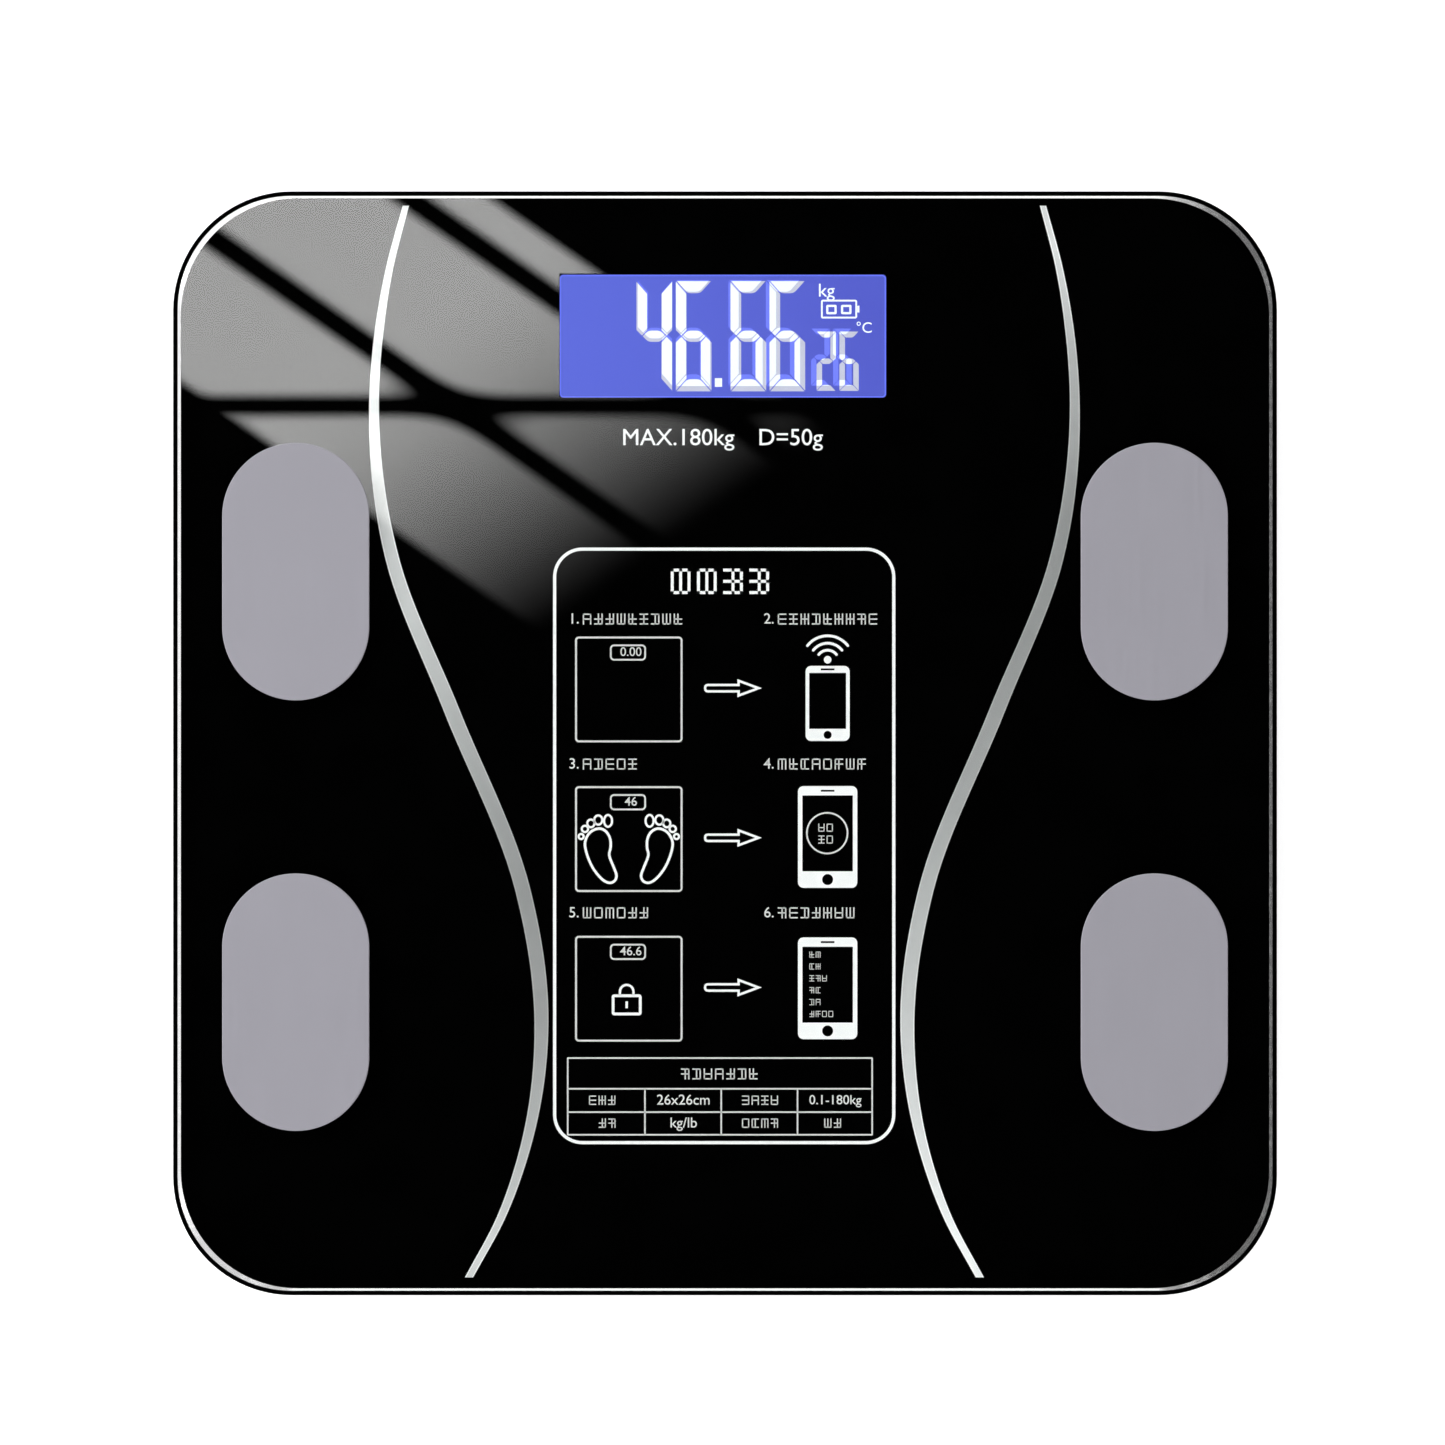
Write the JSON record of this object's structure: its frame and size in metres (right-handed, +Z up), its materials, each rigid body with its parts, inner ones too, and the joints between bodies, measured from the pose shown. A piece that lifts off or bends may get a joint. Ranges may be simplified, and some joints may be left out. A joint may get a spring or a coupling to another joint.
{
  "type": "digital bathroom scale",
  "caption": "Square glass-topped body-weight scale with contact pads on the platform, a lit display, sprung weighing feet, and a hinged battery cover beneath.",
  "frame": {"origin": "centre of the footprint on the surface that the feet stand on", "axes": "+Z up out of the glass platform; +Y towards the display end, away from the person standing on it; +X to that person's right"},
  "size_m": [0.26, 0.26, 0.0244],
  "materials": {
    "platform_glass": "polished tempered glass, back-printed black, with a ground edge",
    "electrode_steel": "fine brushed stainless steel",
    "contact_brass": "plated brass, satin",
    "tray_plastic": "fine spark-eroded texture, matt black",
    "cover_plastic": "fine spark-eroded texture, matt black",
    "button_plastic": "satin grey",
    "foam": "closed-cell foam, matt",
    "foot_plastic": "matt black",
    "foot_rubber": "matt soft rubber",
    "load_cell_steel": "zinc-plated sheet steel",
    "holder_plastic": "natural white moulded plastic",
    "display": "lit liquid-crystal panel behind glass",
    "display_frame": "white moulded plastic",
    "light_guide": "clear acrylic light guide with a dotted back",
    "zebra_rubber": "layered conductive silicone",
    "circuit_board": "green solder mask",
    "chip_epoxy": "moulded black epoxy",
    "module_can": "tinned steel shield",
    "screw_steel": "zinc-plated steel",
    "battery_jacket": "printed plastic sleeve",
    "contact_spring": "nickel-plated spring steel",
    "cell_lead_sleeve": "grey insulated lead bundle",
    "electrode_lead_sleeve": "white insulated lead",
    "lead_red": "red insulated lead",
    "lead_black": "black insulated lead"
  },
  "bodies": {
    "root": {"glass_platform": "platform_glass", "electrode_rear_left": "electrode_steel", "electrode_rear_right": "electrode_steel", "electrode_front_left": "electrode_steel", "electrode_front_right": "electrode_steel", "contact_stud_rear_left": "contact_brass", "contact_stud_rear_right": "contact_brass", "contact_stud_front_left": "contact_brass", "contact_stud_front_right": "contact_brass", "base_tray": "tray_plastic", "perimeter_tape": "foam", "lcd_gasket": "foam", "load_cell_rear_left": "load_cell_steel", "load_cell_rear_right": "load_cell_steel", "load_cell_front_left": "load_cell_steel", "load_cell_front_right": "load_cell_steel", "cell_holder_rear_left": "holder_plastic", "cell_holder_rear_right": "holder_plastic", "cell_holder_front_left": "holder_plastic", "cell_holder_front_right": "holder_plastic", "lcd_panel": "display", "lcd_frame": "display_frame", "backlight": "light_guide", "zebra_strip": "zebra_rubber", "main_board": "circuit_board", "controller_chip": "chip_epoxy", "temperature_sensor": "chip_epoxy", "tact_switch": "chip_epoxy", "radio_module": "module_can", "board_screw_rear_left": "screw_steel", "board_screw_rear_right": "screw_steel", "board_screw_front_left": "screw_steel", "board_screw_front_right": "screw_steel", "battery_left": "battery_jacket", "battery_right": "battery_jacket", "contact_bridge": "contact_spring", "contact_plus": "contact_spring", "contact_minus": "contact_spring", "cell_lead_rear_left": "cell_lead_sleeve", "cell_lead_rear_right": "cell_lead_sleeve", "cell_lead_front_left": "cell_lead_sleeve", "cell_lead_front_right": "cell_lead_sleeve", "electrode_lead_rear_left": "electrode_lead_sleeve", "electrode_lead_rear_right": "electrode_lead_sleeve", "electrode_lead_front_left": "electrode_lead_sleeve", "electrode_lead_front_right": "electrode_lead_sleeve", "battery_lead_red": "lead_red", "battery_lead_black": "lead_black"},
    "battery_cover": {"battery_cover": "cover_plastic"},
    "unit_button": {"unit_button": "button_plastic"},
    "foot_rear_left": {"foot_cup_rear_left": "foot_plastic", "foot_pad_rear_left": "foot_rubber"},
    "foot_rear_right": {"foot_cup_rear_right": "foot_plastic", "foot_pad_rear_right": "foot_rubber"},
    "foot_front_left": {"foot_cup_front_left": "foot_plastic", "foot_pad_front_left": "foot_rubber"},
    "foot_front_right": {"foot_cup_front_right": "foot_plastic", "foot_pad_front_right": "foot_rubber"}
  },
  "joints": [
    {"name": "foot_give_rear_left", "type": "slide", "parent": "root", "child": "foot_rear_left", "axis": [0, 0, 1], "range_m": [0, 0.0005], "stiffness_N_per_m": 2000, "springref_m": -0.003},
    {"name": "foot_give_rear_right", "type": "slide", "parent": "root", "child": "foot_rear_right", "axis": [0, 0, 1], "range_m": [0, 0.0005], "stiffness_N_per_m": 2000, "springref_m": -0.003},
    {"name": "foot_give_front_left", "type": "slide", "parent": "root", "child": "foot_front_left", "axis": [0, 0, 1], "range_m": [0, 0.0005], "stiffness_N_per_m": 2000, "springref_m": -0.003},
    {"name": "foot_give_front_right", "type": "slide", "parent": "root", "child": "foot_front_right", "axis": [0, 0, 1], "range_m": [0, 0.0005], "stiffness_N_per_m": 2000, "springref_m": -0.003},
    {"name": "cover_hinge", "type": "hinge", "parent": "root", "child": "battery_cover", "pos_m": [0, 0.0265, 0.0053], "axis": [1, 0, 0], "range_deg": [0, 95]},
    {"name": "button_press", "type": "slide", "parent": "root", "child": "unit_button", "axis": [0, 0, 1], "range_m": [0, 0.0008], "stiffness_N_per_m": 600, "springref_m": -0.001}
  ]
}
